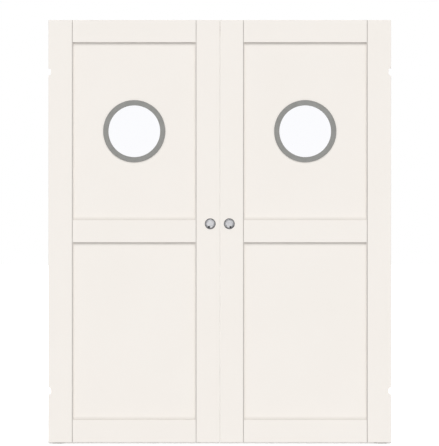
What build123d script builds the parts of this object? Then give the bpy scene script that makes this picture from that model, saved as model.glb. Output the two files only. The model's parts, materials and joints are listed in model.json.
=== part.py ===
from build123d import *
import math
import os

# A pair of panelled door leaves with portholes that slide apart in front of a slim timber frame.
# Millimetres: X runs along the leaves from their meeting line, Y from their front to the frame, Z up.
# The pieces of a side are drawn for the right leaf and mirrored for the left.

# Leaves
leaf_width = 825.0
leaf_height = 2040.0
leaf_thickness = 40.0
meeting_gap = 3.0
floor_gap = 5.0
leaf_arris = 1.5
bottom_bevel = 2.5

# Stiles, rails and panels of a leaf
outer_stile_width = 118.5
meeting_stile_width = 116.0
top_rail_height = 107.0
middle_rail_height = 107.0
middle_rail_rise = 968.0
bottom_rail_height = 111.0
quirk_width = 3.0
quirk_depth = 6.0
quirk_lip = 1.8
panel_thickness = 18.0
panel_groove_depth = 12.0
panel_side_clearance = 0.15
panel_end_clearance = 0.5

# Dowels in the stile and rail joints
dowel_diameter = 8.0
dowel_length = 60.0
dowel_clearance = 0.1
dowel_end_clearance = 0.5
dowel_shares = (0.25, 0.75)

# Notches in the outer edges
notch_height = 35.0
notch_depth = 12.0
notch_flat = 1.5
notch_end_distance = 250.0

# Portholes
ring_outer_diameter = 300.0
ring_lap = 14.0
ring_cover = 11.0
ring_flange = 4.0
ring_edge_radius = 0.8
ring_clearance = 0.5
glass_thickness = 6.0
glass_clearance = 2.0
gasket_thickness = 2.0
gasket_inset = 1.0
ring_screw_diameter = 3.5
ring_screw_count = 6
ring_screw_bite = 3.0

# Flush pulls
pull_flange_diameter = 52.0
pull_flange_width = 4.5
pull_depth = 11.0
pull_wall = 1.0
pull_proud = 1.5
pull_edge_radius = 0.6
pull_bowl_radius = 9.0
pull_hole_clearance = 0.2
pull_floor_clearance = 0.8
pull_edge_distance = 44.5
pull_rise = 1057.0
pull_screw_diameter = 6.0
pull_screw_length = 9.0
pull_screw_bowl_angle = 56.0
pull_screw_lean_angle = 20.0

# Rebate at the back of the leaf's top, for the running gear
rebate_depth = 25.0
rebate_height = 63.0

# Rails of the running gear, a C section with its slot towards the runner
rail_height = 40.0
rail_depth = 14.0
rail_base = 3.0
rail_flange = 3.0
rail_lip = 2.0
rail_slot = 24.0
rail_rise = 4.0
rail_end_inset = 10.5
head_rail_inset = 7.0

# Runner between the rails, and its rollers
runner_height = 30.0
runner_thickness = 5.0
runner_clearance = 1.5
runner_end_margin = 15.0
roller_pitch = 400.0
roller_gap = 0.3
roller_side_gap = 0.8
roller_bevel = 0.8
pin_diameter = 8.0
pin_running_clearance = 0.05
pin_seat_clearance = 0.02
pin_collar_diameter = 12.0
pin_head_diameter = 12.0
pin_head_thickness = 1.2
pin_end_play = 0.3
pin_head_clearance = 0.5

# Stops in the rails
centre_stop_length = 39.0
head_stop_length = 18.0
hanging_stop_length = 21.5
stop_roller_gap = 0.8
stop_side_gap = 0.3

# Frame
jamb_face = 66.0
head_face = 66.0
frame_depth = 90.0
frame_inset = 14.5
frame_top_drop = 6.0
frame_arris = 2.0
head_housing = 10.0
head_housing_clearance = 0.2

# Wall fixings through the frame
fixing_diameter = 10.5
fixing_head_diameter = 22.0
fixing_head_depth = 8.0
jamb_fixing_foot_distance = 200.0
jamb_fixing_top_distance = 219.0
jamb_fixing_shares = (0, 1 / 3, 2 / 3, 1)
head_fixing_spacing = 900.0

# Floor guides and the channels they run in
guide_length = 40.0
guide_leg_height = 40.0
guide_plate = 2.0
guide_lift = 0.5
guide_fin_thickness = 6.0
guide_fin_top_gap = 3.5
guide_jamb_inset = 27.0
channel_width = 12.0
channel_height = 15.0
channel_wall = 1.5
channel_clearance = 0.1

# Seal between the leaves
seal_setback = 7.5
seal_width = 8.0
seal_edge_radius = 1.0
seal_touch_gap = 0.6
seal_stem_thickness = 3.0
seal_stem_depth = 6.0
seal_clearance = 0.1
seal_end_gap = 2.0

# Countersunk screws
wood_screw_diameter = 4.5
screw_clearance = 0.05
screw_head_diameter_share = 1.9
screw_head_height_share = 0.5
drive_length_share = 1.0
drive_width_share = 0.2
drive_depth_share = 0.3
head_screw_count = 8
head_screw_length = 35.0
head_screw_end_distance = 46.0
hanging_screw_count = 4
hanging_screw_cover = 3.0
hanging_screw_end_distance = 57.0
guide_screw_length = 30.0
guide_screw_spacing = 20.0

# How far a cut runs past what it cuts
overrun = 5.0

# Heights
leaf_bottom = floor_gap
leaf_top = leaf_bottom + leaf_height
top_rail_bottom = leaf_top - top_rail_height
middle_rail_bottom = leaf_bottom + middle_rail_rise
middle_rail_top = middle_rail_bottom + middle_rail_height
bottom_rail_top = leaf_bottom + bottom_rail_height
frame_top = leaf_top - frame_top_drop
head_bottom = frame_top - head_face
rebate_floor = leaf_top - rebate_height
gear_z = rebate_floor + rail_rise + rail_height / 2
porthole_z = (middle_rail_top + top_rail_bottom) / 2
pull_z = leaf_bottom + pull_rise

# Depths, front to back, with the origin midway
frame_gap = 2 * rail_depth + 2 * runner_clearance + runner_thickness - rebate_depth
overall_depth = pull_proud + leaf_thickness + frame_gap + frame_depth
leaf_front = pull_proud - overall_depth / 2
leaf_back = leaf_front + leaf_thickness
leaf_mid = leaf_front + leaf_thickness / 2
panel_front = leaf_mid - panel_thickness / 2
panel_back = leaf_mid + panel_thickness / 2
frame_front = leaf_back + frame_gap
frame_mid = frame_front + frame_depth / 2
frame_back = frame_front + frame_depth
rebate_face = leaf_back - rebate_depth
runner_front = rebate_face + rail_depth + runner_clearance
runner_back = runner_front + runner_thickness

# Distances from the meeting line
meeting_u = meeting_gap / 2
outer_u = meeting_u + leaf_width
meeting_joint_u = meeting_u + meeting_stile_width
outer_joint_u = outer_u - outer_stile_width
rail_length = outer_joint_u - meeting_joint_u
panel_centre_u = (meeting_joint_u + outer_joint_u) / 2
pull_u = meeting_u + pull_edge_distance
frame_half = outer_u - frame_inset
opening_half = frame_half - jamb_face
jamb_u = frame_half - jamb_face / 2
guide_u = frame_half - guide_jamb_inset

# Running gear along the leaf: both rows of rollers roll half the leaf's travel
cavity_height = rail_height - 2 * rail_flange
cavity_depth = rail_depth - rail_base - rail_lip
roller_radius = cavity_height / 2 - roller_gap
roller_width = cavity_depth - 2 * roller_side_gap
roller_reach = roller_radius + stop_roller_gap
hanging_rail_start = meeting_u + rail_end_inset
hanging_rail_end = outer_u - rail_end_inset
hanging_rail_length = hanging_rail_end - hanging_rail_start
head_rail_half = frame_half - head_rail_inset
rear_inner_u = centre_stop_length / 2 + roller_reach
rear_outer_u = rear_inner_u + roller_pitch
front_outer_u = hanging_rail_end - hanging_stop_length - roller_reach
front_inner_u = front_outer_u - roller_pitch
runner_travel = head_rail_half - head_stop_length - roller_reach - rear_outer_u
leaf_travel = 2 * runner_travel
runner_start = rear_inner_u - runner_end_margin
runner_end = front_outer_u + runner_end_margin
rear_rollers = (rear_inner_u, rear_outer_u)
front_rollers = (front_inner_u, front_outer_u)

# Holding positions of screws and dowels
head_screw_span = 2 * (opening_half - head_screw_end_distance)
head_screw_us = [
    (i / (head_screw_count - 1) - 1 / 2) * head_screw_span for i in range(head_screw_count)
]
hanging_screw_span = hanging_rail_length - 2 * hanging_screw_end_distance
hanging_screw_us = [
    hanging_rail_start + hanging_screw_end_distance + i / (hanging_screw_count - 1) * hanging_screw_span
    for i in range(hanging_screw_count)
]
guide_screw_us = (guide_u - guide_screw_spacing / 2, guide_u + guide_screw_spacing / 2)
guide_screw_z = guide_lift + guide_leg_height / 2
dowel_zones = (
    (leaf_bottom + channel_height, bottom_rail_top - panel_groove_depth),
    (middle_rail_bottom + panel_groove_depth, middle_rail_top - panel_groove_depth),
    (top_rail_bottom + panel_groove_depth, rebate_floor),
)
dowel_zs = [low + share * (high - low) for low, high in dowel_zones for share in dowel_shares]
hanging_screw_length = rail_base + leaf_thickness - rebate_depth - hanging_screw_cover

# Diameters of the portholes and pulls, from their outer edge inwards
porthole_hole_diameter = ring_outer_diameter - 2 * ring_lap
ring_sight_diameter = porthole_hole_diameter - 2 * ring_cover
ring_screw_radius = (porthole_hole_diameter + ring_outer_diameter) / 4
pull_mouth_diameter = pull_flange_diameter - 2 * pull_flange_width

top_aligned = (Align.CENTER, Align.CENTER, Align.MAX)

os.makedirs("parts", exist_ok=True)


def write(piece, name):
    """Label a finished piece and write it."""
    piece.part.label = name
    export_step(piece.part, f"parts/{name}.step")


def write_both(piece, name):
    """Write a piece of the right side, and its mirror image for the left."""
    write(piece, f"right_{name}")
    with BuildPart() as mirrored:
        mirror(piece.part, about=Plane.YZ)
    write(mirrored, f"left_{name}")


def front_planes(points, y):
    """Planes at points (x, z) of a face at y that looks to the front."""
    return [Plane(origin=(x, y, z), x_dir=(1, 0, 0), z_dir=(0, -1, 0)) for x, z in points]


def back_planes(points, y):
    """Planes at points (x, z) of a face at y that looks to the back."""
    return [Plane(origin=(x, y, z), x_dir=(1, 0, 0), z_dir=(0, 1, 0)) for x, z in points]


def screws(diameter, length):
    """Countersunk cross-head screws at the current places, driven in against their Z."""
    head_radius = diameter * screw_head_diameter_share / 2
    head_height = diameter * screw_head_height_share
    drive = (diameter * drive_length_share, diameter * drive_width_share, diameter * drive_depth_share)
    Cone(diameter / 2, head_radius, head_height, align=top_aligned)
    Cylinder(diameter / 2, length, align=top_aligned)
    Box(*drive, align=top_aligned, mode=Mode.SUBTRACT)
    Box(*drive, align=top_aligned, rotation=(0, 0, 90), mode=Mode.SUBTRACT)


def screw_holes(diameter, length):
    """Countersunk holes for those screws."""
    radius = diameter / 2 + screw_clearance
    head_radius = diameter * screw_head_diameter_share / 2 + screw_clearance
    head_height = diameter * screw_head_height_share
    Cone(radius, head_radius, head_height, align=top_aligned, mode=Mode.SUBTRACT)
    Cylinder(radius, length + screw_clearance, align=top_aligned, mode=Mode.SUBTRACT)


def pull_screw_plane(face_y, outward):
    """The seat of a pull's screw: square to the bowl, below its middle and towards the outer edge."""
    slope = math.radians(pull_screw_bowl_angle)
    lean = math.radians(pull_screw_lean_angle)
    across = Vector(math.sin(lean), 0, -math.cos(lean))
    along = Vector(math.cos(lean), 0, math.sin(lean))
    out = Vector(0, outward, 0)
    square = out * math.sin(slope) - across * math.cos(slope)
    corner_reach = pull_mouth_diameter / 2 - pull_bowl_radius
    corner_depth = pull_depth - pull_bowl_radius
    corner = Vector(pull_u, face_y, pull_z) + across * corner_reach - out * corner_depth
    return Plane(origin=corner - square * pull_bowl_radius, x_dir=along, z_dir=square)


# What runs along a whole leaf: the rebate, the channel's groove and the eased edges
channel_groove_width = channel_width + 2 * channel_clearance
with BuildSketch(Plane.YZ.offset(meeting_u - overrun)) as leaf_runs:
    with Locations((rebate_face, rebate_floor)):
        Rectangle(rebate_depth + overrun, rebate_height + overrun, align=Align.MIN)
    with Locations((leaf_mid, leaf_bottom + channel_height)):
        Rectangle(channel_groove_width, channel_height + overrun, align=(Align.CENTER, Align.MAX))
    for y, inward in ((leaf_front, bottom_bevel), (leaf_back, -bottom_bevel)):
        Polygon((y, leaf_bottom), (y + inward, leaf_bottom), (y, leaf_bottom + bottom_bevel), align=None)
    Polygon(
        (leaf_front, leaf_top), (leaf_front + leaf_arris, leaf_top), (leaf_front, leaf_top - leaf_arris),
        align=None,
    )
leaf_run_length = leaf_width + 2 * overrun

# Dowel holes across a joint between stile and rails
dowel_hole_reach = dowel_length / 2 + dowel_end_clearance
dowel_hole_radius = dowel_diameter / 2 + dowel_clearance
dowel_points = [(leaf_mid, z) for z in dowel_zs]

# Where the hanging rail's screws enter the leaf, through the rail's base
hanging_screw_planes = back_planes([(u, gear_z) for u in hanging_screw_us], rebate_face + rail_base)

panel_groove_width = panel_thickness + 2 * panel_side_clearance

# A quirk runs down both faces of a stile, a lip away from its inner edge
quirk_inset = quirk_lip + quirk_width / 2

# Meeting stile, with a hole for the pull in each face
pull_at = (pull_u, pull_z)
pull_hole_radius = pull_mouth_diameter / 2 + pull_wall + pull_hole_clearance
pull_hole_depth = pull_depth + pull_wall + pull_floor_clearance
pull_screw_planes = (pull_screw_plane(leaf_front, -1), pull_screw_plane(leaf_back, 1))
with BuildPart() as meeting_stile:
    with BuildSketch(Plane.XY.offset(leaf_bottom)) as section:
        with Locations((meeting_u + meeting_stile_width / 2, leaf_mid)):
            Rectangle(meeting_stile_width, leaf_thickness)
        chamfer(section.vertices().group_by(Axis.X)[0], length=leaf_arris)
        with Locations((meeting_joint_u, leaf_mid)):
            Rectangle(2 * panel_groove_depth, panel_groove_width, mode=Mode.SUBTRACT)
        with Locations(*[(meeting_joint_u - quirk_inset, y) for y in (leaf_front, leaf_back)]):
            Rectangle(quirk_width, 2 * quirk_depth, mode=Mode.SUBTRACT)
    extrude(amount=leaf_height)
    extrude(leaf_runs.sketch, amount=leaf_run_length, mode=Mode.SUBTRACT)
    with BuildSketch(Plane.YZ.offset(meeting_joint_u - dowel_hole_reach)):
        with Locations(*dowel_points):
            Circle(dowel_hole_radius)
    extrude(amount=dowel_hole_reach, mode=Mode.SUBTRACT)
    with Locations(*front_planes([pull_at], leaf_front), *back_planes([pull_at], leaf_back)):
        Cylinder(pull_hole_radius, pull_hole_depth, align=top_aligned, mode=Mode.SUBTRACT)
    with Locations(*pull_screw_planes):
        screw_holes(pull_screw_diameter, pull_screw_length)
    with Locations(*hanging_screw_planes):
        screw_holes(wood_screw_diameter, hanging_screw_length)
write(meeting_stile, "right_meeting_stile")

# The left meeting stile also has a kerf that holds the seal
seal_y = leaf_front + seal_setback
seal_kerf_depth = seal_stem_depth + seal_clearance
seal_kerf_width = seal_stem_thickness + 2 * seal_clearance
with BuildPart() as left_meeting_stile:
    mirror(meeting_stile.part, about=Plane.YZ)
    with BuildSketch(Plane.XY.offset(leaf_bottom)):
        with Locations((-meeting_u, seal_y)):
            Rectangle(2 * seal_kerf_depth, seal_kerf_width)
    extrude(amount=leaf_height, mode=Mode.SUBTRACT)
write(left_meeting_stile, "left_meeting_stile")

# Outer stile, with its two edge notches
notch_zs = (leaf_bottom + notch_end_distance, leaf_top - notch_end_distance)
notch_radius = notch_depth - notch_flat
with BuildPart() as outer_stile:
    with BuildSketch(Plane.XY.offset(leaf_bottom)) as section:
        with Locations((outer_u - outer_stile_width / 2, leaf_mid)):
            Rectangle(outer_stile_width, leaf_thickness)
        chamfer(section.vertices().group_by(Axis.X)[-1], length=leaf_arris)
        with Locations((outer_joint_u, leaf_mid)):
            Rectangle(2 * panel_groove_depth, panel_groove_width, mode=Mode.SUBTRACT)
        with Locations(*[(outer_joint_u + quirk_inset, y) for y in (leaf_front, leaf_back)]):
            Rectangle(quirk_width, 2 * quirk_depth, mode=Mode.SUBTRACT)
    extrude(amount=leaf_height)
    extrude(leaf_runs.sketch, amount=leaf_run_length, mode=Mode.SUBTRACT)
    with BuildSketch(Plane.YZ.offset(outer_joint_u)):
        with Locations(*dowel_points):
            Circle(dowel_hole_radius)
    extrude(amount=dowel_hole_reach, mode=Mode.SUBTRACT)
    with BuildSketch(Plane.XZ.offset(-leaf_back)):
        with Locations(*[(outer_u, z) for z in notch_zs]):
            RectangleRounded(2 * notch_depth, notch_height, notch_radius)
    extrude(amount=leaf_thickness, mode=Mode.SUBTRACT)
    with Locations(*hanging_screw_planes):
        screw_holes(wood_screw_diameter, hanging_screw_length)
write_both(outer_stile, "outer_stile")


def rail(bottom, top, groove_zs):
    """A rail between the stiles: a tongue at each end, and a panel groove along each edge in groove_zs."""
    rail_mid = (panel_centre_u, (bottom + top) / 2)
    tongue_length = panel_groove_depth - panel_end_clearance
    with BuildPart() as piece:
        with BuildSketch(Plane.XZ.offset(-leaf_back)):
            with Locations(rail_mid):
                Rectangle(rail_length, top - bottom)
        extrude(amount=leaf_thickness)
        with BuildSketch(Plane.XZ.offset(-panel_back)):
            with Locations(rail_mid):
                Rectangle(rail_length + 2 * tongue_length, top - bottom)
        extrude(amount=panel_thickness)
        with BuildSketch(Plane.YZ.offset(meeting_u)):
            with Locations(*[(leaf_mid, z) for z in groove_zs]):
                Rectangle(panel_groove_width, 2 * panel_groove_depth)
        extrude(amount=leaf_width, mode=Mode.SUBTRACT)
        extrude(leaf_runs.sketch, amount=leaf_run_length, mode=Mode.SUBTRACT)
        for joint_u in (meeting_joint_u, outer_joint_u):
            with BuildSketch(Plane.YZ.offset(joint_u - dowel_hole_reach)):
                with Locations(*dowel_points):
                    Circle(dowel_hole_radius)
            extrude(amount=2 * dowel_hole_reach, mode=Mode.SUBTRACT)
        with Locations(*hanging_screw_planes):
            screw_holes(wood_screw_diameter, hanging_screw_length)
    return piece


write_both(rail(top_rail_bottom, leaf_top, (top_rail_bottom,)), "top_rail")
write_both(rail(middle_rail_bottom, middle_rail_top, (middle_rail_bottom, middle_rail_top)), "middle_rail")
write_both(rail(leaf_bottom, bottom_rail_top, (bottom_rail_top,)), "bottom_rail")

# Panels, held in the grooves of the stiles and rails
panel_tongue = panel_groove_depth - panel_end_clearance
porthole_at = (panel_centre_u, porthole_z)
with BuildPart() as lower_panel:
    with BuildSketch(Plane.XZ.offset(-panel_back)):
        with Locations((panel_centre_u, (bottom_rail_top + middle_rail_bottom) / 2)):
            Rectangle(
                rail_length + 2 * panel_tongue,
                middle_rail_bottom - bottom_rail_top + 2 * panel_tongue,
            )
    extrude(amount=panel_thickness)
write_both(lower_panel, "lower_panel")

with BuildPart() as upper_panel:
    with BuildSketch(Plane.XZ.offset(-panel_back)):
        with Locations(porthole_at):
            Rectangle(
                rail_length + 2 * panel_tongue,
                top_rail_bottom - middle_rail_top + 2 * panel_tongue,
            )
            Circle(porthole_hole_diameter / 2, mode=Mode.SUBTRACT)
            with PolarLocations(ring_screw_radius, ring_screw_count):
                Circle(ring_screw_diameter / 2 + screw_clearance, mode=Mode.SUBTRACT)
    extrude(amount=panel_thickness)
write_both(upper_panel, "upper_panel")

# Dowels
with BuildPart() as joint_dowels:
    for joint_u in (meeting_joint_u, outer_joint_u):
        with BuildSketch(Plane.YZ.offset(joint_u - dowel_length / 2)):
            with Locations(*dowel_points):
                Circle(dowel_diameter / 2)
        extrude(amount=dowel_length)
write_both(joint_dowels, "joint_dowels")

# Porthole: a ring on each face of the panel, with the glass between two gaskets
ring_spigot = (panel_thickness - glass_thickness) / 2 - gasket_thickness
ring_spigot_radius = porthole_hole_diameter / 2 - ring_clearance
glass_radius = porthole_hole_diameter / 2 - glass_clearance
ring_screw_length = ring_flange + panel_thickness + ring_screw_bite
rear_ring_plane = back_planes([porthole_at], panel_back + ring_flange)


def porthole_ring(face_y, outward):
    """A flanged ring on the panel face at face_y; outward is 1 to the front and -1 to the back."""
    with BuildPart() as ring:
        with BuildSketch(Plane.XZ.offset(-face_y)):
            with Locations(porthole_at):
                Circle(ring_outer_diameter / 2)
        extrude(amount=outward * ring_flange)
        fillet(ring.edges().group_by(Axis.Y)[0 if outward > 0 else -1], radius=ring_edge_radius)
        with BuildSketch(Plane.XZ.offset(-face_y)):
            with Locations(porthole_at):
                Circle(ring_spigot_radius)
        extrude(amount=-outward * ring_spigot)
        with BuildSketch(Plane.XZ.offset(-leaf_back)):
            with Locations(porthole_at):
                Circle(ring_sight_diameter / 2)
        extrude(amount=leaf_thickness, mode=Mode.SUBTRACT)
        with Locations(*rear_ring_plane):
            with PolarLocations(ring_screw_radius, ring_screw_count):
                screw_holes(ring_screw_diameter, ring_screw_length)
    return ring


write_both(porthole_ring(panel_front, 1), "front_porthole_ring")
write_both(porthole_ring(panel_back, -1), "rear_porthole_ring")

with BuildPart() as porthole_screws:
    with Locations(*rear_ring_plane):
        with PolarLocations(ring_screw_radius, ring_screw_count):
            screws(ring_screw_diameter, ring_screw_length)
write_both(porthole_screws, "porthole_screws")

with BuildPart() as porthole_glass:
    with BuildSketch(Plane.XZ.offset(-leaf_mid)):
        with Locations(porthole_at):
            Circle(glass_radius)
    extrude(amount=glass_thickness / 2, both=True)
write_both(porthole_glass, "porthole_glass")

with BuildPart() as porthole_gaskets:
    for side in (1, -1):
        with BuildSketch(Plane.XZ.offset(-leaf_mid + side * glass_thickness / 2)):
            with Locations(porthole_at):
                Circle(glass_radius)
                Circle(ring_sight_diameter / 2 + gasket_inset, mode=Mode.SUBTRACT)
        extrude(amount=side * gasket_thickness)
write_both(porthole_gaskets, "porthole_gaskets")


# Flush pulls, each with a countersunk hole in its bowl
pull_screw_radius = pull_screw_diameter / 2 + screw_clearance
pull_screw_head_radius = pull_screw_diameter * screw_head_diameter_share / 2 + screw_clearance
pull_screw_head_height = pull_screw_diameter * screw_head_height_share


def flush_pull(face_y, outward):
    """A dished cup with a flange on the leaf face at face_y; outward is the face's way along Y."""
    mouth = pull_mouth_diameter / 2
    back = mouth + pull_wall
    flange = pull_flange_diameter / 2
    floor = -pull_depth
    axis_plane = Plane(origin=(pull_u, face_y, pull_z), x_dir=(1, 0, 0), z_dir=(0, 0, outward))
    seat = pull_screw_plane(face_y, outward)
    with BuildPart() as pull:
        with BuildSketch(axis_plane) as profile:
            with BuildLine():
                FilletPolyline((0, floor), (mouth, floor), (mouth, pull_proud), radius=pull_bowl_radius)
                Polyline((mouth, pull_proud), (flange, pull_proud), (flange, 0), (back, 0))
                FilletPolyline(
                    (back, 0), (back, floor - pull_wall), (0, floor - pull_wall),
                    radius=pull_bowl_radius + pull_wall,
                )
                Line((0, floor), (0, floor - pull_wall))
            make_face()
            fillet(profile.vertices().group_by(Axis.Y)[-1], radius=pull_edge_radius)
        revolve(axis=Axis((pull_u, face_y, pull_z), (0, 1, 0)))
        with BuildSketch(Plane(origin=seat.origin, x_dir=seat.x_dir, z_dir=-seat.y_dir)):
            with BuildLine():
                Polyline(
                    (0, overrun),
                    (pull_screw_head_radius, overrun),
                    (pull_screw_head_radius, 0),
                    (pull_screw_radius, -pull_screw_head_height),
                    (pull_screw_radius, -pull_screw_length),
                    (0, -pull_screw_length),
                    close=True,
                )
            make_face()
        revolve(axis=Axis(seat.origin, seat.z_dir), mode=Mode.SUBTRACT)
    return pull


write_both(flush_pull(leaf_front, -1), "front_pull")
write_both(flush_pull(leaf_back, 1), "rear_pull")

# Seal on the left leaf's meeting edge: a rounded strip with a stem in the kerf
seal_reach = meeting_gap - seal_touch_gap
with BuildPart() as meeting_seal:
    with BuildSketch(Plane.XY.offset(leaf_bottom + seal_end_gap)) as section:
        with Locations((-meeting_u, seal_y)):
            Rectangle(seal_reach, seal_width, align=(Align.MIN, Align.CENTER))
        fillet(section.vertices().group_by(Axis.X)[-1], radius=seal_edge_radius)
        with Locations((-meeting_u, seal_y)):
            Rectangle(seal_stem_depth, seal_stem_thickness, align=(Align.MAX, Align.CENTER))
    extrude(amount=leaf_height - 2 * seal_end_gap)
write(meeting_seal, "left_meeting_seal")

# Channel along the leaf's lower edge, for the floor guide
with BuildPart() as guide_channel:
    with BuildSketch(Plane.YZ.offset(hanging_rail_start)):
        with Locations((leaf_mid, leaf_bottom)):
            Rectangle(channel_width, channel_height, align=(Align.CENTER, Align.MIN))
            Rectangle(
                channel_width - 2 * channel_wall,
                channel_height - channel_wall,
                align=(Align.CENTER, Align.MIN),
                mode=Mode.SUBTRACT,
            )
    extrude(amount=hanging_rail_length)
write_both(guide_channel, "guide_channel")


def rail_section(base_y, facing):
    """The C section of a rail with its base at base_y; facing is its slot's way along Y."""
    with Locations((base_y + facing * rail_depth / 2, gear_z)):
        Rectangle(rail_depth, rail_height)
    with Locations((base_y + facing * (rail_base + cavity_depth / 2), gear_z)):
        Rectangle(cavity_depth, cavity_height, mode=Mode.SUBTRACT)
    with Locations((base_y + facing * rail_depth, gear_z)):
        Rectangle(2 * rail_lip, rail_slot, mode=Mode.SUBTRACT)


def rail_stops(base_y, facing, spans):
    """Blocks that fill a rail's cavity over each span (start, end) along it."""
    stop_depth = cavity_depth - stop_side_gap
    for start, end in spans:
        with Locations(((start + end) / 2, base_y + facing * (rail_base + stop_depth / 2), gear_z)):
            Box(end - start, stop_depth, cavity_height - 2 * stop_side_gap)


# Hanging rail on the leaf, and its stops
with BuildPart() as hanging_rail:
    with BuildSketch(Plane.YZ.offset(hanging_rail_start)):
        rail_section(rebate_face, 1)
    extrude(amount=hanging_rail_length)
    with Locations(*hanging_screw_planes):
        screw_holes(wood_screw_diameter, hanging_screw_length)
write_both(hanging_rail, "hanging_rail")

# The leaf's black screws hold the hanging rail and the pulls
with BuildPart() as leaf_screws:
    with Locations(*hanging_screw_planes):
        screws(wood_screw_diameter, hanging_screw_length)
    with Locations(*pull_screw_planes):
        screws(pull_screw_diameter, pull_screw_length)
write_both(leaf_screws, "leaf_screws")

open_stop_end = front_inner_u - runner_travel - roller_reach
with BuildPart() as hanging_rail_stops:
    rail_stops(
        rebate_face, 1,
        ((hanging_rail_start, open_stop_end), (hanging_rail_end - hanging_stop_length, hanging_rail_end)),
    )
write_both(hanging_rail_stops, "hanging_rail_stops")

# Runner bar, with a seat for each roller's pin
runner_length = runner_end - runner_start
with BuildPart() as runner_bar:
    with BuildSketch(Plane.XZ.offset(-runner_back)):
        with Locations(((runner_start + runner_end) / 2, gear_z)):
            Rectangle(runner_length, runner_height)
        with Locations(*[(u, gear_z) for u in front_rollers + rear_rollers]):
            Circle(pin_diameter / 2 + pin_seat_clearance, mode=Mode.SUBTRACT)
    extrude(amount=runner_thickness)
write_both(runner_bar, "runner_bar")

# Rollers and their pins, measured out from the face of the runner that they stand on
roller_inner = runner_clearance + rail_lip + roller_side_gap
roller_outer = roller_inner + roller_width
roller_recess = pin_head_thickness + pin_end_play
pin_head_inner = roller_outer - pin_head_thickness
pin_collar = roller_inner - pin_end_play
runner_faces = {"front": (runner_front, -1), "rear": (runner_back, 1)}


def roller(u, face_y, outward):
    """A roller on the runner's face at face_y, with a recess for the pin's head."""
    with BuildPart() as wheel:
        with BuildSketch(Plane.XZ.offset(-face_y - outward * roller_inner)):
            with Locations((u, gear_z)):
                Circle(roller_radius)
        extrude(amount=-outward * roller_width)
        chamfer(wheel.edges(), length=roller_bevel)
        with BuildSketch(Plane.XZ.offset(-face_y - outward * roller_inner)):
            with Locations((u, gear_z)):
                Circle(pin_diameter / 2 + pin_running_clearance)
        extrude(amount=-outward * roller_width, mode=Mode.SUBTRACT)
        with BuildSketch(Plane.XZ.offset(-face_y - outward * roller_outer)):
            with Locations((u, gear_z)):
                Circle(pin_head_diameter / 2 + pin_head_clearance)
        extrude(amount=outward * roller_recess, mode=Mode.SUBTRACT)
    return wheel


for row, rollers in (("front", front_rollers), ("rear", rear_rollers)):
    for number, roller_u in enumerate(rollers, start=1):
        write_both(roller(roller_u, *runner_faces[row]), f"{row}_roller_{number}")

pin_steps = (
    (-runner_thickness, pin_head_inner, pin_diameter),
    (0, pin_collar, pin_collar_diameter),
    (pin_head_inner, roller_outer, pin_head_diameter),
)
with BuildPart() as roller_pins:
    for row, rollers in (("front", front_rollers), ("rear", rear_rollers)):
        face_y, outward = runner_faces[row]
        for start, end, diameter in pin_steps:
            with BuildSketch(Plane.XZ.offset(-face_y - outward * start)):
                with Locations(*[(u, gear_z) for u in rollers]):
                    Circle(diameter / 2)
            extrude(amount=-outward * (end - start))
write_both(roller_pins, "roller_pins")

# Head rail on the frame, its screws and its stops
head_screw_planes = front_planes([(u, gear_z) for u in head_screw_us], frame_front - rail_base)
with BuildPart() as head_rail:
    with BuildSketch(Plane.YZ.offset(-head_rail_half)):
        rail_section(frame_front, -1)
    extrude(amount=2 * head_rail_half)
    with Locations(*head_screw_planes):
        screw_holes(wood_screw_diameter, head_screw_length)
write(head_rail, "head_rail")

with BuildPart() as head_rail_screws:
    with Locations(*head_screw_planes):
        screws(wood_screw_diameter, head_screw_length)
write(head_rail_screws, "head_rail_screws")

outer_stop_start = head_rail_half - head_stop_length
with BuildPart() as head_rail_stops:
    rail_stops(
        frame_front, -1,
        (
            (-head_rail_half, -outer_stop_start),
            (-centre_stop_length / 2, centre_stop_length / 2),
            (outer_stop_start, head_rail_half),
        ),
    )
write(head_rail_stops, "head_rail_stops")

# Jamb, housed for the head and drilled for its wall fixings
guide_screw_planes = front_planes([(u, guide_screw_z) for u in guide_screw_us], frame_front - guide_plate)
jamb_fixing_span = frame_top - jamb_fixing_foot_distance - jamb_fixing_top_distance
jamb_fixing_zs = [jamb_fixing_foot_distance + share * jamb_fixing_span for share in jamb_fixing_shares]
with BuildPart() as jamb:
    with BuildSketch(Plane.XY) as section:
        with Locations((jamb_u, frame_mid)):
            Rectangle(jamb_face, frame_depth)
        chamfer(section.vertices(), length=frame_arris)
    extrude(amount=frame_top)
    with BuildSketch(Plane.XZ.offset(-frame_back)):
        with Locations((opening_half - overrun, head_bottom)):
            Rectangle(head_housing + overrun, head_face + overrun, align=Align.MIN)
    extrude(amount=frame_depth, mode=Mode.SUBTRACT)
    with BuildSketch(Plane.YZ.offset(opening_half)):
        with Locations(*[(frame_mid, z) for z in jamb_fixing_zs]):
            Circle(fixing_diameter / 2)
    extrude(amount=jamb_face, mode=Mode.SUBTRACT)
    with BuildSketch(Plane.YZ.offset(opening_half)):
        with Locations(*[(frame_mid, z) for z in jamb_fixing_zs]):
            Circle(fixing_head_diameter / 2)
    extrude(amount=fixing_head_depth, mode=Mode.SUBTRACT)
    with Locations(*guide_screw_planes):
        screw_holes(wood_screw_diameter, guide_screw_length)
write_both(jamb, "jamb")

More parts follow.
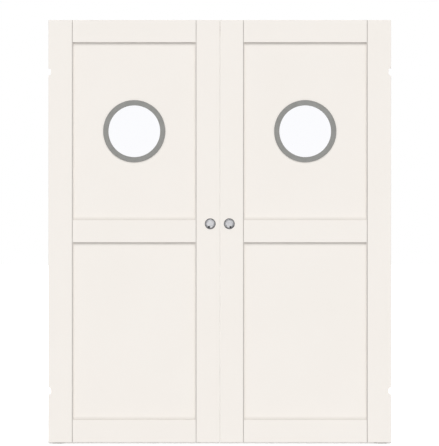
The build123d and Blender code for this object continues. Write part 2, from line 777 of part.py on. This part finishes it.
# Frame head between the jambs
head_half = opening_half + head_housing - head_housing_clearance
with BuildPart() as frame_head:
    with BuildSketch(Plane.YZ.offset(-head_half)) as section:
        with Locations((frame_mid, frame_top - head_face / 2)):
            Rectangle(frame_depth, head_face)
        chamfer(section.vertices(), length=frame_arris)
    extrude(amount=2 * head_half)
    with BuildSketch(Plane.XY.offset(head_bottom)):
        with Locations((0, frame_mid)):
            with GridLocations(head_fixing_spacing, 0, 2, 1):
                Circle(fixing_diameter / 2)
    extrude(amount=head_face, mode=Mode.SUBTRACT)
    with BuildSketch(Plane.XY.offset(head_bottom)):
        with Locations((0, frame_mid)):
            with GridLocations(head_fixing_spacing, 0, 2, 1):
                Circle(fixing_head_diameter / 2)
    extrude(amount=fixing_head_depth, mode=Mode.SUBTRACT)
    with Locations(*head_screw_planes):
        screw_holes(wood_screw_diameter, head_screw_length)
write(frame_head, "frame_head")

# Floor guide: a leg on the jamb, a plate under the leaf and a fin up into its channel
fin_top = leaf_bottom + channel_height - channel_wall - guide_fin_top_gap
with BuildPart() as floor_guide:
    with BuildSketch(Plane.YZ.offset(guide_u - guide_length / 2)):
        with Locations((frame_front, guide_lift)):
            Rectangle(guide_plate, guide_leg_height, align=(Align.MAX, Align.MIN))
            Rectangle(frame_front - leaf_mid, guide_plate, align=(Align.MAX, Align.MIN))
        with Locations((leaf_mid, guide_lift)):
            Rectangle(guide_fin_thickness, fin_top - guide_lift, align=(Align.CENTER, Align.MIN))
    extrude(amount=guide_length)
    with Locations(*guide_screw_planes):
        screw_holes(wood_screw_diameter, guide_screw_length)
write_both(floor_guide, "floor_guide")

with BuildPart() as floor_guide_screws:
    with Locations(*guide_screw_planes):
        screws(wood_screw_diameter, guide_screw_length)
    mirror(about=Plane.YZ)
write(floor_guide_screws, "floor_guide_screws")

print(f"leaf travel {leaf_travel:.2f} mm, roller radius {roller_radius:.2f} mm")
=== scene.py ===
import json
import math

import bpy
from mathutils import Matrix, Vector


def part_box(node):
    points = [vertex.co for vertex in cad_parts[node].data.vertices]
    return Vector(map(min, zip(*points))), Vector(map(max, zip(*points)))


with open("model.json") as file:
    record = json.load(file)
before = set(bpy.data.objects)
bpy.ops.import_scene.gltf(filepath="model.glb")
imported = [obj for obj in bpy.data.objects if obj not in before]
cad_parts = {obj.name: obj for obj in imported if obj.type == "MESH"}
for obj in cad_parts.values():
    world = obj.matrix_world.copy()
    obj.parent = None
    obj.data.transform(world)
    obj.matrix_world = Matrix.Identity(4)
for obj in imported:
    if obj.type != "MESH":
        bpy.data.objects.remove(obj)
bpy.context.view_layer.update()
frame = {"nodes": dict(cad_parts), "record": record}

# Places that the looks follow, in metres
leaf_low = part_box("left_outer_stile")[0]
leaf_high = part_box("right_outer_stile")[1]
ring_low, ring_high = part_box("right_front_porthole_ring")
pull_low, pull_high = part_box("right_front_pull")
ring_centre = (ring_low + ring_high) / 2
pull_centre = (pull_low + pull_high) / 2

# Most of a noise lies between these two; its scale is in waves to the metre, and its relief in metres
noise_low = 0.3
noise_high = 0.7

# Lacquer on the timber: clouds in its tone, an uneven sheen and a fine orange peel
leaf_tones = ((0.862, 0.820, 0.772), (0.872, 0.832, 0.786))
frame_tones = ((0.842, 0.806, 0.760), (0.856, 0.820, 0.776))
lacquer_roughness = (0.40, 0.48)
cloud_scale = 2.5
sheen_scale = 30.0
peel_scale = 420.0
peel_detail = 1.0
peel_depth = 0.00002

# Margin of a panel painted darker as shade where it meets the stiles and rails, and how far the panel
# reaches into its grooves
shade_margin_width = 0.018
margin_shade_share = 0.80
margin_side_shade_share = 0.15
panel_tongue = 0.0115

# Painted shade in the quirk beside a stile's inner edge, and painted shade on the bevel along the lower
# edge
quirk_inset = 0.0033
quirk_half = 0.0015
quirk_shade_share = 0.70
bevel_height = 0.0025
bevel_shade_share = 0.70
edge_blend = 0.0001

# Pulls: a satin bowl in a rim painted dark as a reflection, and where the painted shade in the bowl starts
# and lies thickest below the centre
pull_rim = 0.0037
rim_blend = 0.0004
rim_reflection_tones = ((0.070, 0.070, 0.071), (0.120, 0.120, 0.121))
bowl_tones = ((0.52, 0.52, 0.535), (0.66, 0.66, 0.675))
bowl_shade_tone = (0.40, 0.40, 0.405, 1.0)
bowl_shade_start = 0.004
bowl_shade_full = 0.018
pull_roughness = (0.46, 0.56)
pull_mottle_scale = 45.0
pull_turning_scale = 3800.0
pull_turning_depth = 0.000002

# Porthole rings
ring_tones = ((0.247, 0.247, 0.236), (0.274, 0.274, 0.263))
ring_roughness = (0.40, 0.52)
ring_mottle_scale = 25.0
ring_turning_scale = 2600.0
ring_turning_depth = 0.000006

# Rails, drawn along X
rail_tones = ((0.66, 0.67, 0.68), (0.74, 0.75, 0.76))
rail_roughness = (0.28, 0.42)
rail_mottle_scale = 18.0
rail_line_scale = 900.0
rail_line_stretch = (0.01, 1.0, 1.0)
rail_line_depth = 0.000006

# Plated and blackened steel; the near-black tone also makes the pull screw's head a dark spot in the bowl,
# standing in for a dark reflection
zinc_tones = ((0.54, 0.55, 0.56), (0.66, 0.66, 0.64))
zinc_roughness = (0.26, 0.42)
black_steel_and_reflection_tones = ((0.008, 0.008, 0.009), (0.018, 0.018, 0.019))
black_steel_roughness = (0.55, 0.70)
black_steel_metallic = 0.2
plating_scale = 260.0
plating_detail = 4.0
plating_grain_scale = 1500.0
plating_grain_depth = 0.000004

# Plastic, rubber and powder coating
acetal_tones = ((0.80, 0.80, 0.77), (0.86, 0.86, 0.83))
acetal_roughness = (0.32, 0.42)
acetal_grain_scale = 1200.0
acetal_grain_depth = 0.000006
coating_tones = ((0.80, 0.78, 0.74), (0.85, 0.83, 0.79))
coating_roughness = (0.40, 0.50)
coating_grain_scale = 1400.0
coating_grain_depth = 0.00001
black_rubber_tones = ((0.022, 0.022, 0.022), (0.040, 0.040, 0.039))
black_rubber_roughness = (0.62, 0.80)
black_rubber_grain_depth = 0.00002
# Painted light: the pale seal is made lighter than its rubber, so the shaded gap between the leaves shows
# lighter
pale_rubber_and_gap_light_tones = ((0.88, 0.86, 0.82), (0.93, 0.91, 0.87))
pale_rubber_roughness = (0.55, 0.70)
pale_rubber_grain_depth = 0.00001
rubber_grain_scale = 1600.0
mould_cloud_scale = 60.0
mould_detail = 2.0

# Beech dowels, with the grain along X
beech_tones = ((0.50, 0.33, 0.19), (0.70, 0.52, 0.34))
beech_roughness = (0.55, 0.70)
beech_grain_scale = 320.0
beech_grain_detail = 5.0
beech_grain_stretch = (0.06, 1.0, 1.0)
beech_grain_depth = 0.00008

# Glass, with smears and a slow wave
glass_tint = (0.970, 0.975, 1.0, 1.0)
glass_ior = 1.5
glass_roughness = (0.0, 0.02)
smear_scale = 14.0
smear_detail = 4.0
wave_scale = 6.0
wave_detail = 0.0
wave_depth = 0.00004

# The photograph's frame, and where the pair of leaves lies in it, in pixels
image_width_px = 439
image_height_px = 446
pair_left_px = 48.56
pair_right_px = 390.96
pair_top_px = 19.8
pair_bottom_px = 443.1

# Camera
camera_distance = 14.0
sensor_width_mm = 36.0
clip_far = 200.0
level_degrees = 90.0

# Light: an even studio with one soft key from the front and above
key_elevation_degrees = 42.0
key_softness_degrees = 45.0
key_strength = 2.2
front_fill = 0.16
back_fill = 0.95
lower_fill = 0.95
ground_fill = 0.2
backdrop_white = 1.0
white = (1.0, 1.0, 1.0, 1.0)

# Where one fill passes into the next, along Y or Z of the direction
front_to_back = (-0.2, 0.4)
ground_to_lower = (-1.0, -0.4)
lower_to_upper = (0.0, 0.2)

# Floor
floor_half = 60.0
floor_colour = (0.86, 0.86, 0.86, 1.0)
floor_glow = 0.45
floor_grain_scale = 200.0
floor_grain_depth = 0.0001


def add(tree, kind, inputs=None, **settings):
    """A shader node of that kind; an input is a value, or another node's output."""
    node = tree.nodes.new("ShaderNode" + kind)
    for name, value in settings.items():
        setattr(node, name, value)
    for name, value in (inputs or {}).items():
        if isinstance(value, bpy.types.NodeSocket):
            tree.links.new(value, node.inputs[name])
        else:
            node.inputs[name].default_value = value
    return node


def maths(tree, operation, first, second=0.0):
    """One step of arithmetic on one or two numbers."""
    return add(tree, "Math", {0: first, 1: second}, operation=operation).outputs["Value"]


def place(tree):
    """The surface point in the shared frame, in metres."""
    return add(tree, "TexCoord").outputs["Object"]


def height(tree):
    """The height above the floor."""
    return add(tree, "SeparateXYZ", {"Vector": place(tree)}).outputs["Z"]


def off_line(tree, line_x):
    """The distance along X from an upright line that each leaf has its mirror image of."""
    x = add(tree, "SeparateXYZ", {"Vector": place(tree)}).outputs["X"]
    mirrored = maths(tree, "ABSOLUTE", x)
    return maths(tree, "ABSOLUTE", maths(tree, "SUBTRACT", mirrored, line_x))


def from_axis(tree, centre):
    """The distance from an axis through both faces, where each leaf has its mirror image of it."""
    mirrored = add(tree, "VectorMath", {0: place(tree)}, operation="ABSOLUTE").outputs["Vector"]
    middle = (centre.x, 0.0, centre.z)
    aside = add(tree, "VectorMath", {0: mirrored, 1: middle}, operation="SUBTRACT").outputs["Vector"]
    flat = add(tree, "VectorMath", {0: aside, 1: (1.0, 0.0, 1.0)}, operation="MULTIPLY").outputs["Vector"]
    return add(tree, "VectorMath", {0: flat}, operation="LENGTH").outputs["Value"]


def speckle(tree, scale, detail=3.0, stretch=(1.0, 1.0, 1.0)):
    """A noise of that many waves to the metre, drawn out along the axes with a small stretch."""
    spread = add(tree, "Mapping", {"Vector": place(tree), "Scale": stretch}).outputs["Vector"]
    return add(tree, "TexNoise", {"Vector": spread, "Scale": scale, "Detail": detail}).outputs["Fac"]


def turned(tree, centre, scale, detail=2.0):
    """Fine rings about an axis through both faces."""
    inputs = {"W": from_axis(tree, centre), "Scale": scale, "Detail": detail}
    return add(tree, "TexNoise", inputs, noise_dimensions="1D").outputs["Fac"]


def ramped(tree, amount, start, end, low=0.0, high=1.0):
    """From low where the amount is at start to high where it is at end."""
    inputs = {"Value": amount, "From Min": start, "From Max": end, "To Min": low, "To Max": high}
    return add(tree, "MapRange", inputs).outputs["Result"]


def between(tree, amount, limits):
    """The noise amount, centred and spread over the limits."""
    return ramped(tree, amount, noise_low, noise_high, *limits)


def tones(tree, amount, pair):
    """A colour between a dark and a light tone."""
    ramp = add(tree, "ValToRGB", {"Fac": amount})
    for element, position, tone in zip(ramp.color_ramp.elements, (noise_low, noise_high), pair):
        element.position = position
        element.color = (*tone, 1.0)
    return ramp.outputs["Color"]


def mixed(tree, share, first, second):
    """The first colour, with that share of the second."""
    return add(tree, "Mix", {0: share, 6: first, 7: second}, data_type="RGBA").outputs[2]


def bump(tree, relief, depth):
    """A surface relief of that depth in metres."""
    return add(tree, "Bump", {"Height": relief, "Distance": depth, "Strength": 1.0}).outputs["Normal"]


def surface(name, **inputs):
    """A new material and its node tree, with the inputs set on its shader."""
    material = bpy.data.materials.new(name)
    material.use_nodes = True
    shader = material.node_tree.nodes["Principled BSDF"]
    for key, value in inputs.items():
        shader.inputs[key.replace("_", " ")].default_value = value
    return material, material.node_tree, shader


def connect(tree, shader, **outputs):
    """Lead node outputs to the shader's inputs."""
    for key, output in outputs.items():
        tree.links.new(output, shader.inputs[key.replace("_", " ")])


def lacquer(name, pair, painted_shades=()):
    """Sprayed satin lacquer: a faint cloud in its tone, a fine orange peel, and painted shade in the places
    given.
    """
    material, tree, shader = surface(name)
    colour = tones(tree, speckle(tree, cloud_scale), pair)
    for where, node, shade_share in painted_shades:
        tone = (*(shade_share * value for value in pair[0]), 1.0)
        colour = mixed(tree, where(tree, node), colour, tone)
    connect(
        tree, shader,
        Base_Color=colour,
        Roughness=between(tree, speckle(tree, sheen_scale), lacquer_roughness),
        Normal=bump(tree, speckle(tree, peel_scale, peel_detail), peel_depth),
    )
    return material


def panel_edge_shade(tree, node):
    """Painted shade along the edges of a panel's face, where the stiles and rails meet it."""
    low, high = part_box(node)
    half = (high.x - low.x) / 2 - panel_tongue
    foot, head = low.z + panel_tongue, high.z - panel_tongue
    side = ramped(tree, off_line(tree, (low.x + high.x) / 2), half - shade_margin_width, half)
    side = maths(tree, "MULTIPLY", side, margin_side_shade_share)
    lower = ramped(tree, height(tree), foot + shade_margin_width, foot)
    upper = ramped(tree, height(tree), head - shade_margin_width, head)
    return maths(tree, "MAXIMUM", side, maths(tree, "MAXIMUM", lower, upper))


def quirk_shade(tree, node):
    """Painted shade inside the narrow quirk beside a stile's inner edge."""
    low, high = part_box(node)
    line_x = low.x + quirk_inset if "outer" in node else high.x - quirk_inset
    return ramped(tree, off_line(tree, line_x), quirk_half + edge_blend, quirk_half)


def lower_edge_shade(tree, node):
    """Painted shade on the bevel along a leaf's lower edge, which faces down."""
    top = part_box(node)[0].z + bevel_height
    return ramped(tree, height(tree), top + edge_blend, top)


def cup_metal(name):
    """A pull turned from one blank: a satin bowl, painted darker towards its lower side as shade, inside a
    rim painted dark as a reflection.
    """
    material, tree, shader = surface(name, Metallic=1.0)
    rings = turned(tree, pull_centre, pull_turning_scale)
    mottle = speckle(tree, pull_mottle_scale)
    # Painted shade: the bowl darker below its centre
    bowl_shade = ramped(tree, height(tree), pull_centre.z - bowl_shade_start, pull_centre.z - bowl_shade_full)
    bowl = mixed(tree, bowl_shade, tones(tree, mottle, bowl_tones), bowl_shade_tone)
    mouth_radius = (pull_high.x - pull_low.x) / 2 - pull_rim
    # Painted reflection: the rim dark all round
    rim_reflection = ramped(tree, from_axis(tree, pull_centre), mouth_radius - rim_blend, mouth_radius + rim_blend)
    connect(
        tree, shader,
        Base_Color=mixed(tree, rim_reflection, bowl, tones(tree, mottle, rim_reflection_tones)),
        Roughness=between(tree, rings, pull_roughness),
        Normal=bump(tree, rings, pull_turning_depth),
    )
    return material


def turned_metal(name):
    """Metal finished on a lathe, with fine rings about the porthole's centre."""
    material, tree, shader = surface(name, Metallic=1.0)
    rings = turned(tree, ring_centre, ring_turning_scale)
    connect(
        tree, shader,
        Base_Color=tones(tree, speckle(tree, ring_mottle_scale), ring_tones),
        Roughness=between(tree, rings, ring_roughness),
        Normal=bump(tree, rings, ring_turning_depth),
    )
    return material


def drawn_metal(name):
    """Extruded metal, with fine lines along the rails."""
    material, tree, shader = surface(name, Metallic=1.0)
    lines = speckle(tree, rail_line_scale, stretch=rail_line_stretch)
    connect(
        tree, shader,
        Base_Color=tones(tree, speckle(tree, rail_mottle_scale), rail_tones),
        Roughness=between(tree, lines, rail_roughness),
        Normal=bump(tree, lines, rail_line_depth),
    )
    return material


def plated_metal(name, pair, roughness, metallic=1.0):
    """Plated or blackened steel, with a mottled sheen."""
    material, tree, shader = surface(name, Metallic=metallic)
    mottle = speckle(tree, plating_scale, plating_detail)
    connect(
        tree, shader,
        Base_Color=tones(tree, mottle, pair),
        Roughness=between(tree, mottle, roughness),
        Normal=bump(tree, speckle(tree, plating_grain_scale), plating_grain_depth),
    )
    return material


def moulded(name, pair, roughness, grain_scale, grain_depth):
    """Moulded plastic, rubber or powder coating, with a fine even grain."""
    material, tree, shader = surface(name)
    grain = speckle(tree, grain_scale, mould_detail)
    connect(
        tree, shader,
        Base_Color=tones(tree, speckle(tree, mould_cloud_scale), pair),
        Roughness=between(tree, grain, roughness),
        Normal=bump(tree, grain, grain_depth),
    )
    return material


def beech(name):
    """Bare beech with its grain along the dowel, and short dark flecks."""
    material, tree, shader = surface(name)
    grain = speckle(tree, beech_grain_scale, beech_grain_detail, beech_grain_stretch)
    connect(
        tree, shader,
        Base_Color=tones(tree, grain, beech_tones),
        Roughness=between(tree, grain, beech_roughness),
        Normal=bump(tree, grain, beech_grain_depth),
    )
    return material


def clear_glass(name):
    """Clear float glass, with a trace of waviness and of smears."""
    material, tree, shader = surface(name, Base_Color=glass_tint, Transmission_Weight=1.0, IOR=glass_ior)
    connect(
        tree, shader,
        Roughness=between(tree, speckle(tree, smear_scale, smear_detail), glass_roughness),
        Normal=bump(tree, speckle(tree, wave_scale, wave_detail), wave_depth),
    )
    return material


def slot_finishes():
    """A material for each slot of the record."""
    return {
        "leaf_lacquer": lacquer("leaf_lacquer", leaf_tones),
        "frame_lacquer": lacquer("frame_lacquer", frame_tones),
        "beech": beech("beech"),
        "clear_glass": clear_glass("clear_glass"),
        "satin_steel": turned_metal("satin_steel"),
        "polished_nickel": cup_metal("polished_nickel"),
        "rail_aluminium": drawn_metal("rail_aluminium"),
        "zinc_steel": plated_metal("zinc_steel", zinc_tones, zinc_roughness),
        "black_steel": plated_metal(
            "black_steel", black_steel_and_reflection_tones, black_steel_roughness, black_steel_metallic
        ),
        "white_acetal": moulded(
            "white_acetal", acetal_tones, acetal_roughness, acetal_grain_scale, acetal_grain_depth
        ),
        "coated_steel": moulded(
            "coated_steel", coating_tones, coating_roughness, coating_grain_scale, coating_grain_depth
        ),
        "black_rubber": moulded(
            "black_rubber", black_rubber_tones, black_rubber_roughness,
            rubber_grain_scale, black_rubber_grain_depth,
        ),
        "pale_rubber": moulded(
            "pale_rubber", pale_rubber_and_gap_light_tones, pale_rubber_roughness,
            rubber_grain_scale, pale_rubber_grain_depth,
        ),
    }


def timber_finishes():
    """A lacquer for each kind of timber that has painted shade in places."""
    # Painted shade for each kind: along the panel edges, in the quirks and on the lower bevels
    painted_shade_places = {
        "upper_panel": ((panel_edge_shade, margin_shade_share),),
        "lower_panel": ((panel_edge_shade, margin_shade_share),),
        "outer_stile": ((quirk_shade, quirk_shade_share), (lower_edge_shade, bevel_shade_share)),
        "meeting_stile": ((quirk_shade, quirk_shade_share), (lower_edge_shade, bevel_shade_share)),
        "bottom_rail": ((lower_edge_shade, bevel_shade_share),),
    }
    finishes = {}
    for kind, places in painted_shade_places.items():
        painted_shades = [(where, f"right_{kind}", shade_share) for where, shade_share in places]
        finishes[kind] = lacquer(f"{kind}_lacquer", leaf_tones, painted_shades)
    return finishes


def dress_nodes():
    """Give every solid the material of its slot, or of its kind of timber."""
    by_slot = slot_finishes()
    by_kind = timber_finishes()
    for part in frame["record"]["subparts"]:
        kind = part["node"].split("_", 1)[1]
        materials = frame["nodes"][part["node"]].data.materials
        materials.clear()
        materials.append(by_kind.get(kind) or by_slot[part["material_slot"]])


def make_floor():
    """A plain pale floor under the frame."""
    mesh = bpy.data.meshes.new("floor")
    corners = [(x * floor_half, y * floor_half, 0.0) for x, y in ((-1, -1), (1, -1), (1, 1), (-1, 1))]
    mesh.from_pydata(corners, [], [(0, 1, 2, 3)])
    floor = bpy.data.objects.new("floor", mesh)
    bpy.context.scene.collection.objects.link(floor)
    material, tree, shader = surface(
        "pale_floor", Base_Color=floor_colour, Roughness=1.0, Specular_IOR_Level=0.0,
        Emission_Color=white, Emission_Strength=floor_glow,
    )
    connect(tree, shader, Normal=bump(tree, speckle(tree, floor_grain_scale), floor_grain_depth))
    mesh.materials.append(material)
    floor.visible_diffuse = False


def make_world():
    """A white backdrop, and even light that is weaker in front of the leaves than behind them."""
    world = bpy.data.worlds.new("studio")
    world.use_nodes = True
    tree = world.node_tree
    tree.nodes.clear()
    direction = add(tree, "SeparateXYZ", {"Vector": add(tree, "TexCoord").outputs["Generated"]}).outputs
    upper = ramped(tree, direction["Y"], *front_to_back, front_fill, back_fill)
    lower = ramped(tree, direction["Z"], *ground_to_lower, ground_fill, lower_fill)
    fill = ramped(tree, direction["Z"], *lower_to_upper, lower, upper)
    light = add(tree, "Background", {"Color": white, "Strength": fill}).outputs[0]
    backdrop = add(tree, "Background", {"Color": white, "Strength": backdrop_white}).outputs[0]
    path = add(tree, "LightPath").outputs
    seen = maths(tree, "MAXIMUM", path["Is Camera Ray"], path["Is Transmission Ray"])
    studio = add(tree, "MixShader", {0: seen, 1: light, 2: backdrop}).outputs[0]
    add(tree, "OutputWorld", {"Surface": studio})
    bpy.context.scene.world = world


def make_key():
    """The soft key light, from the front and above."""
    lamp = bpy.data.lights.new("key", "SUN")
    lamp.energy = key_strength
    lamp.angle = math.radians(key_softness_degrees)
    key = bpy.data.objects.new("key", lamp)
    key.rotation_euler = (math.radians(level_degrees - key_elevation_degrees), 0.0, 0.0)
    bpy.context.scene.collection.objects.link(key)


def make_camera():
    """A long lens that sees the pair of leaves straight on, where the photograph has it."""
    metre_per_px = (
        (leaf_high.x - leaf_low.x) / (pair_right_px - pair_left_px)
        + (leaf_high.z - leaf_low.z) / (pair_bottom_px - pair_top_px)
    ) / 2
    aside_px = image_width_px / 2 - (pair_left_px + pair_right_px) / 2
    above_px = (pair_top_px + pair_bottom_px) / 2 - image_height_px / 2
    data = bpy.data.cameras.new("camera")
    data.sensor_width = sensor_width_mm
    data.lens = sensor_width_mm * camera_distance / (image_height_px * metre_per_px)
    data.clip_end = clip_far
    camera = bpy.data.objects.new("camera", data)
    camera.location = (
        (leaf_low.x + leaf_high.x) / 2 + aside_px * metre_per_px,
        leaf_low.y - camera_distance,
        (leaf_low.z + leaf_high.z) / 2 + above_px * metre_per_px,
    )
    camera.rotation_euler = (math.radians(level_degrees), 0.0, 0.0)
    bpy.context.scene.collection.objects.link(camera)
    bpy.context.scene.camera = camera


dress_nodes()
make_floor()
make_world()
make_key()
make_camera()
bpy.context.scene.view_settings.view_transform = "Standard"
